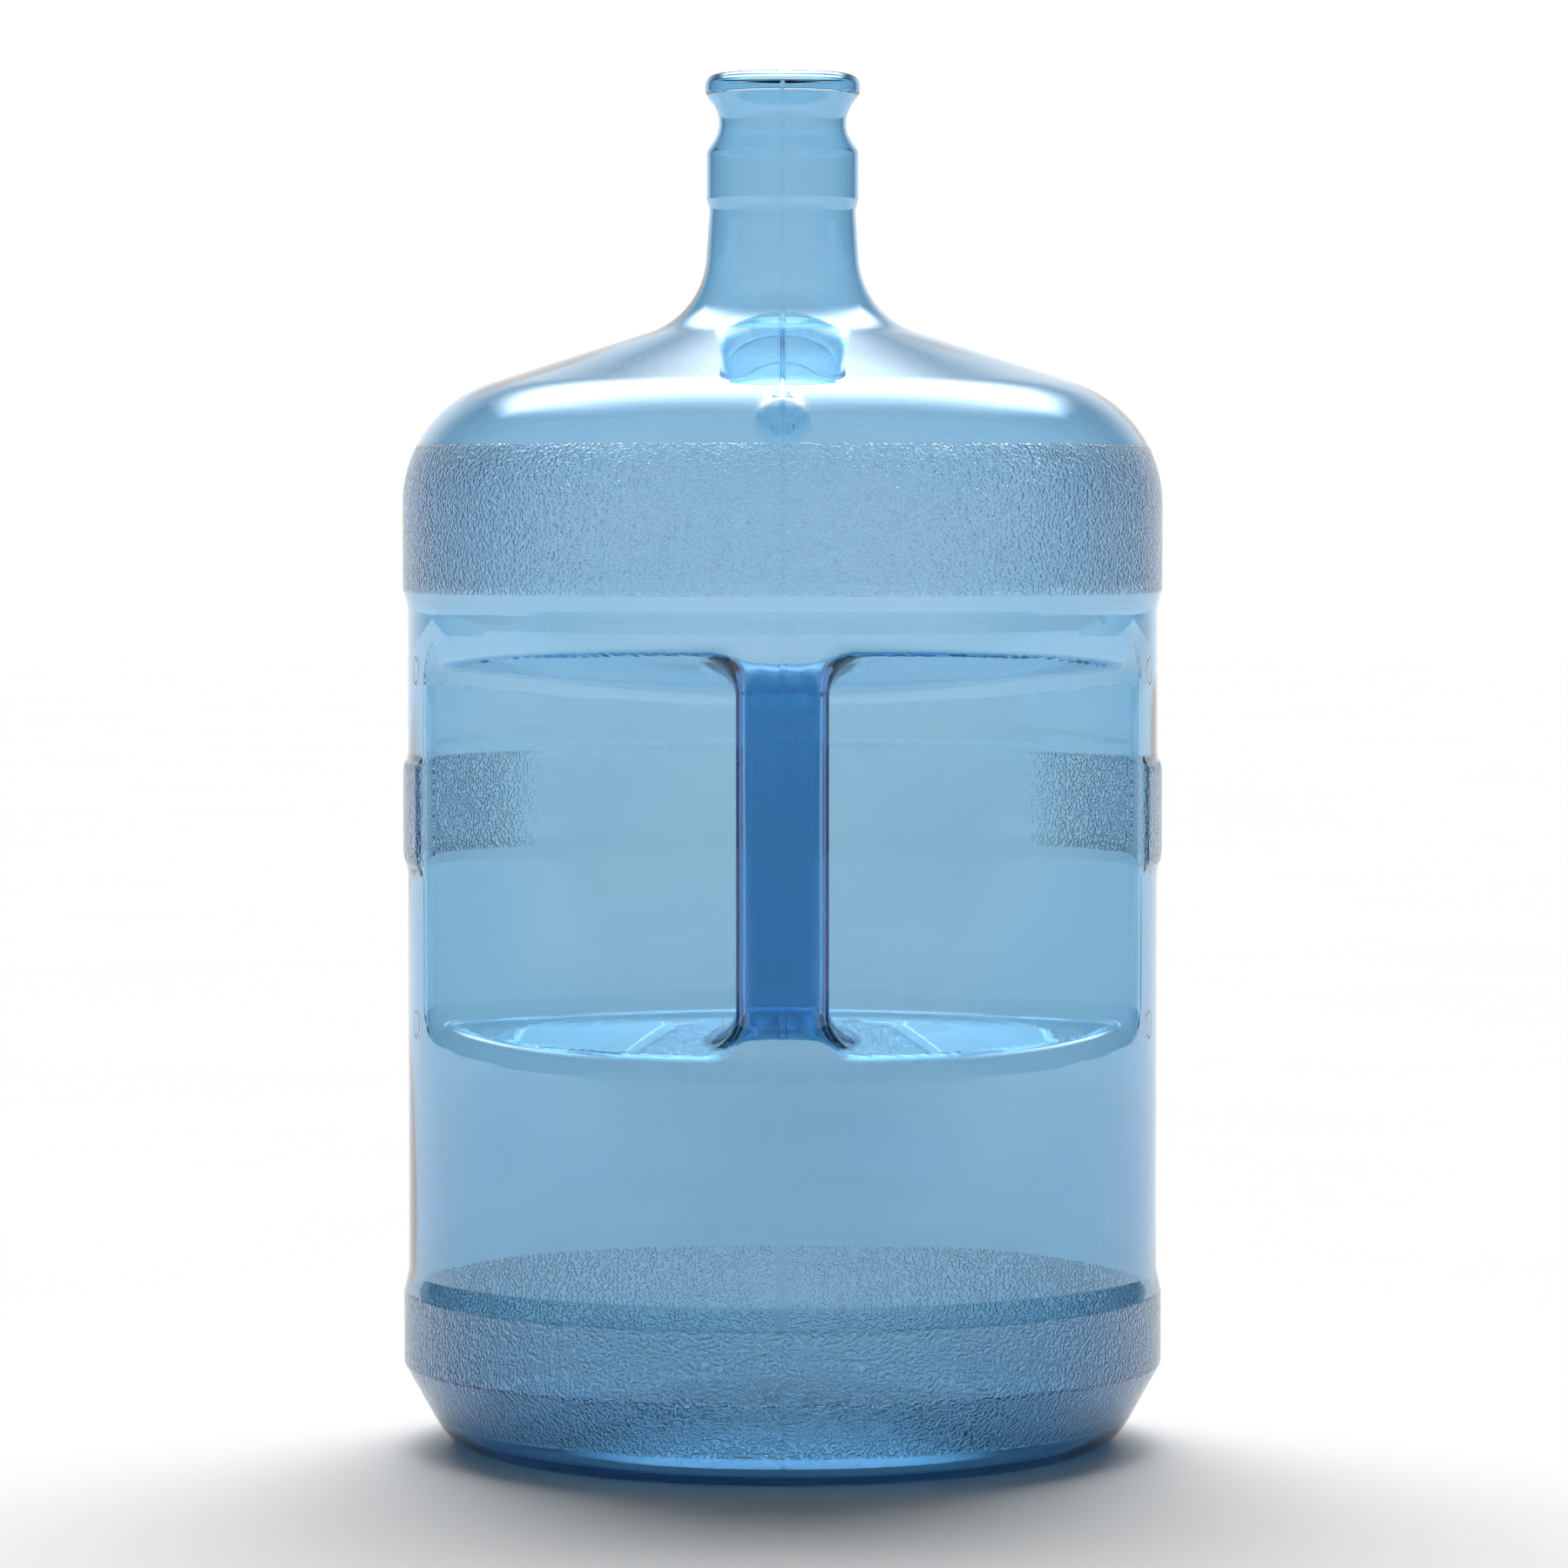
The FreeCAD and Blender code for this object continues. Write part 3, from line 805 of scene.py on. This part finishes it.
def shell_material():
    """Clear blue plastic, with stippled bands, four round marks and a sharper boss as bump."""
    material = bpy.data.materials.new("clear_blue_polycarbonate")
    material.use_nodes = True
    n = Nodes(material.node_tree)
    where = n.add("ShaderNodeTexCoord").outputs["Object"]
    xyz = n.add("ShaderNodeSeparateXYZ", {"Vector": where})
    x, y, z = xyz.outputs
    outside = n.add("ShaderNodeAttribute", attribute_name="outside").outputs["Fac"]

    def window(low, high, edge):
        up = n.ramp(z, low - edge, low + edge)
        down = n.ramp(z, high + edge, high - edge)
        return n.math("MULTIPLY", up, down)

    upper = window(*UPPER_STIPPLE)
    middle = window(*MIDDLE_STIPPLE)
    behind = n.ramp(y, *MIDDLE_STIPPLE_Y)
    across = n.math("ABSOLUTE", x)
    sides = n.ramp(across, *MIDDLE_STIPPLE_X)
    middle = n.math("MULTIPLY", n.math("MULTIPLY", middle, behind), sides)
    lower = window(*LOWER_STIPPLE)
    bands = n.math("MAXIMUM", n.math("MAXIMUM", upper, middle), lower)
    bands = n.math("MULTIPLY", bands, outside)

    grain = n.add("ShaderNodeTexNoise", {"Vector": where, "Scale": GRAIN_SCALE, "Detail": 1.0})
    stipple = n.math("MULTIPLY", n.ramp(grain.outputs["Fac"], *GRAIN_RAMP), bands)

    along = n.math("ABSOLUTE", n.math("SUBTRACT", z, MARK_MIDDLE_Z))
    folded = n.add("ShaderNodeCombineXYZ", {"X": across, "Y": y, "Z": along}).outputs[0]
    reach = n.distance(folded, MARK_PLACE)
    ring_in, ring_top, ring_out = MARK_RING
    mark = n.math("MULTIPLY", n.ramp(reach, ring_in, ring_top), n.ramp(reach, ring_out, ring_top))
    mark = n.math("MULTIPLY", n.math("MULTIPLY", mark, outside), MARK_DEPTH)

    upright = n.add("ShaderNodeCombineXYZ", {"X": x, "Z": z}).outputs[0]
    boss = n.ramp(n.distance(upright, BOSS_BUMP_PLACE), *BOSS_BUMP_R)
    boss = n.math("MULTIPLY", boss, n.ramp(y, *BOSS_BUMP_Y))
    boss = n.math("MULTIPLY", boss, outside)

    relief = n.math("MULTIPLY_ADD", boss, BOSS_BUMP, n.math("SUBTRACT", stipple, mark))
    bumps = n.add("ShaderNodeBump", {"Height": relief, "Strength": 1.0, "Distance": BUMP_HEIGHT})

    haze = n.add("ShaderNodeTexNoise", {"Vector": where, "Scale": HAZE_SCALE, "Detail": 2.0})
    haze = n.ramp(haze.outputs["Fac"], *HAZE_RAMP)
    rough = n.math("MULTIPLY_ADD", haze, HAZE_ROUGHNESS, CLEAR_ROUGHNESS)
    rough = n.math("MULTIPLY_ADD", bands, STIPPLE_ROUGHNESS, rough)
    # Base colour by height: the grey middle tint, lighter towards the top as painted light and darker
    # towards the bottom and heel as painted shade
    tint_and_painted_shading = n.mix(n.ramp(z, *UPPER_PAINTED_LIGHT_Z), MIDDLE_TINT, UPPER_PAINTED_LIGHT)
    tint_and_painted_shading = n.mix(n.ramp(z, *LOWER_PAINTED_SHADE_Z), tint_and_painted_shading, LOWER_PAINTED_SHADE)
    glass = n.add(
        "ShaderNodeBsdfPrincipled",
        {
            "Base Color": tint_and_painted_shading,
            "Transmission Weight": 1.0,
            "IOR": POLYCARBONATE_IOR,
            "Roughness": rough,
            "Normal": bumps.outputs["Normal"],
        },
    )
    blue = n.add("ShaderNodeVolumeAbsorption", {"Color": PLASTIC_BLUE, "Density": PLASTIC_DENSITY})
    n.add(
        "ShaderNodeOutputMaterial",
        {"Surface": glass.outputs[0], "Volume": blue.outputs[0]},
    )
    return material


def floor_material():
    material = bpy.data.materials.new("studio_floor")
    material.use_nodes = True
    n = Nodes(material.node_tree)
    where = n.add("ShaderNodeTexCoord").outputs["Object"]
    mottle = n.add("ShaderNodeTexNoise", {"Vector": where, "Scale": FLOOR_MOTTLE_SCALE, "Detail": 3.0})
    tone = n.mix(mottle.outputs["Fac"], *FLOOR_GREYS)
    y = n.add("ShaderNodeSeparateXYZ", {"Vector": where}).outputs["Y"]
    # Painted shade: the floor darkens towards the front, where light falls off
    tone = n.mix(n.ramp(y, *FLOOR_PAINTED_SHADE_Y), tone, FLOOR_PAINTED_SHADE)
    paper = n.add(
        "ShaderNodeBsdfPrincipled",
        {"Base Color": tone, "Roughness": FLOOR_ROUGHNESS, "Specular IOR Level": 0.0},
    )
    n.add("ShaderNodeOutputMaterial", {"Surface": paper.outputs[0]})
    return material


def studio():
    """Floor, backdrop light behind and the soft light overhead."""
    mesh = bpy.data.meshes.new("studio_floor")
    side = FLOOR_SIDE
    corners = [(-side, -side, 0), (side, -side, 0), (side, side, 0), (-side, side, 0)]
    mesh.from_pydata(corners, [], [(0, 1, 2, 3)])
    floor = bpy.data.objects.new("studio_floor", mesh)
    mesh.materials.append(floor_material())
    bpy.context.collection.objects.link(floor)

    world = bpy.data.worlds.new("studio")
    bpy.context.scene.world = world
    world.use_nodes = True
    n = Nodes(world.node_tree)
    where = n.add("ShaderNodeTexCoord").outputs["Generated"]
    x, y, z = n.add("ShaderNodeSeparateXYZ", {"Vector": where}).outputs
    tilt = n.math("ARCTAN2", y, z)
    sideways = n.math("ABSOLUTE", n.math("ARCSINE", x))
    front = n.math("MULTIPLY_ADD", sideways, SOFTBOX_FRONT_BOW, tilt)
    far = n.math("SUBTRACT", tilt, math.radians(SOFTBOX_TAPER_FROM))
    far = n.math("MAXIMUM", far, 0.0)
    spread = n.math("MULTIPLY_ADD", far, SOFTBOX_TAPER, sideways)
    softbox = n.math(
        "MULTIPLY",
        n.ramp(front, *map(math.radians, SOFTBOX_FRONT)),
        n.ramp(tilt, *map(math.radians, SOFTBOX_BACK)),
    )
    softbox = n.math("MULTIPLY", softbox, n.ramp(spread, *map(math.radians, SOFTBOX_SIDE)))
    backdrop = n.math("MULTIPLY", n.ramp(z, *BACKDROP_UP), n.ramp(y, *BACKDROP_BACK))
    backdrop = n.math("MULTIPLY_ADD", backdrop, BACKDROP_STRENGTH, DIM_LIGHT)
    strength = n.math("MULTIPLY_ADD", softbox, SOFTBOX_STRENGTH, backdrop)
    light = n.add("ShaderNodeBackground", {"Color": (1, 1, 1, 1), "Strength": strength})
    n.add("ShaderNodeOutputWorld", {"Surface": light.outputs[0]})


def camera():
    """Level with the upper band and slightly down, as in the photo."""
    data = bpy.data.cameras.new("camera")
    data.lens = 154.0
    data.sensor_width = 36.0
    cam = bpy.data.objects.new("camera", data)
    cam.location = (0.0005, -2.39, 0.3366)
    cam.rotation_euler = (math.radians(90 - 2.417), 0, 0)
    bpy.context.collection.objects.link(cam)
    bpy.context.scene.camera = cam


shell = jug()
shell.data.materials.append(shell_material())
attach(shell, "root")
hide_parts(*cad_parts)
studio()
camera()

scene = bpy.context.scene
scene.view_settings.view_transform = "Standard"
scene.cycles.max_bounces = 24
scene.cycles.transmission_bounces = 24
scene.cycles.glossy_bounces = 16
